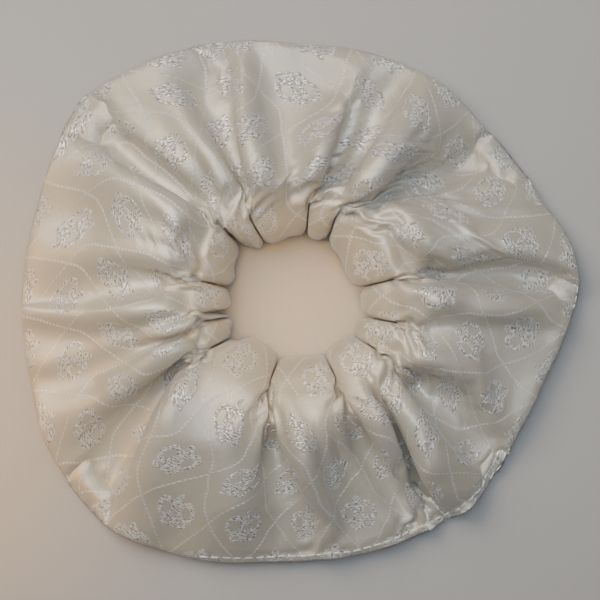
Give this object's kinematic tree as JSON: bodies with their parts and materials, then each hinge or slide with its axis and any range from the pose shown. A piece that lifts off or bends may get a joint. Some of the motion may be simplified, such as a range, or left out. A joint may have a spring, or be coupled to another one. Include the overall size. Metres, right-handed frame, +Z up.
{
  "type": "scrunchie",
  "caption": "Fabric scrunchie lying flat: a gathered satin tube, closed into a ring round an inner band of flat elastic, with a round hair opening.",
  "frame": {"origin": "centre of the hair opening, on the surface that the scrunchie lies on", "axes": "+Z up out of that surface, along the hair opening; +X along the ring's widest diameter"},
  "size_m": [0.115, 0.108, 0.024],
  "materials": {
    "satin": "ivory satin jacquard with a woven diamond lattice and sprig pattern",
    "elastic": "white braided flat elastic",
    "thread": "off-white polyester sewing thread"
  },
  "bodies": {
    "section_01": {"casing_01": "satin", "elastic_01": "elastic", "seam_thread_01": "thread", "closing_thread_01": "thread", "cross_seam_thread": "thread", "thread_tail": "thread"},
    "section_02": {"casing_02": "satin", "elastic_02": "elastic", "seam_thread_02": "thread"},
    "section_03": {"casing_03": "satin", "elastic_03": "elastic", "seam_thread_03": "thread"},
    "section_04": {"casing_04": "satin", "elastic_04": "elastic", "seam_thread_04": "thread", "elastic_overlap": "elastic", "elastic_join_thread": "thread"},
    "section_05": {"casing_05": "satin", "elastic_05": "elastic", "seam_thread_05": "thread"},
    "section_06": {"casing_06": "satin", "elastic_06": "elastic", "seam_thread_06": "thread"},
    "section_07": {"casing_07": "satin", "elastic_07": "elastic", "seam_thread_07": "thread"},
    "section_08": {"casing_08": "satin", "elastic_08": "elastic", "seam_thread_08": "thread"},
    "section_09": {"casing_09": "satin", "elastic_09": "elastic", "seam_thread_09": "thread"},
    "section_10": {"casing_10": "satin", "elastic_10": "elastic", "seam_thread_10": "thread"},
    "section_11": {"casing_11": "satin", "elastic_11": "elastic", "seam_thread_11": "thread", "closing_thread_11": "thread"},
    "section_12": {"casing_12": "satin", "elastic_12": "elastic", "seam_thread_12": "thread", "closing_thread_12": "thread"}
  },
  "joints": [
    {"name": "stretch_06", "type": "slide", "parent": "section_06", "child": "section_07", "axis": [-0.866, -0.5, 0], "range_m": [0, 0.0036], "stiffness_N_per_m": 100},
    {"name": "stretch_07", "type": "slide", "parent": "section_07", "child": "section_08", "axis": [-0.5, -0.866, 0], "range_m": [0, 0.00372], "stiffness_N_per_m": 100},
    {"name": "stretch_08", "type": "slide", "parent": "section_08", "child": "section_09", "axis": [0, -1, 0], "range_m": [0, 0.00405], "stiffness_N_per_m": 100},
    {"name": "stretch_09", "type": "slide", "parent": "section_09", "child": "section_10", "axis": [0.5, -0.866, 0], "range_m": [0, 0.0045], "stiffness_N_per_m": 100},
    {"name": "stretch_10", "type": "slide", "parent": "section_10", "child": "section_11", "axis": [0.866, -0.5, 0], "range_m": [0, 0.00495], "stiffness_N_per_m": 100},
    {"name": "stretch_11", "type": "slide", "parent": "section_11", "child": "section_12", "axis": [1, 0, 0], "range_m": [0, 0.00528], "stiffness_N_per_m": 100},
    {"name": "stretch_05", "type": "slide", "parent": "section_06", "child": "section_05", "axis": [1, 0, 0], "range_m": [0, 0.00372], "stiffness_N_per_m": 100},
    {"name": "stretch_04", "type": "slide", "parent": "section_05", "child": "section_04", "axis": [0.866, -0.5, 0], "range_m": [0, 0.00405], "stiffness_N_per_m": 100},
    {"name": "stretch_03", "type": "slide", "parent": "section_04", "child": "section_03", "axis": [0.5, -0.866, 0], "range_m": [0, 0.0045], "stiffness_N_per_m": 100},
    {"name": "stretch_02", "type": "slide", "parent": "section_03", "child": "section_02", "axis": [0, -1, 0], "range_m": [0, 0.00495], "stiffness_N_per_m": 100},
    {"name": "stretch_01", "type": "slide", "parent": "section_02", "child": "section_01", "axis": [-0.5, -0.866, 0], "range_m": [0, 0.00528], "stiffness_N_per_m": 100}
  ],
  "couplings": [
    {"joint": "stretch_07", "follows": "stretch_06", "ratio": 1.0335},
    {"joint": "stretch_08", "follows": "stretch_06", "ratio": 1.125},
    {"joint": "stretch_09", "follows": "stretch_06", "ratio": 1.25},
    {"joint": "stretch_10", "follows": "stretch_06", "ratio": 1.375},
    {"joint": "stretch_11", "follows": "stretch_06", "ratio": 1.4665},
    {"joint": "stretch_05", "follows": "stretch_06", "ratio": 1.0335},
    {"joint": "stretch_04", "follows": "stretch_06", "ratio": 1.125},
    {"joint": "stretch_03", "follows": "stretch_06", "ratio": 1.25},
    {"joint": "stretch_02", "follows": "stretch_06", "ratio": 1.375},
    {"joint": "stretch_01", "follows": "stretch_06", "ratio": 1.4665}
  ]
}
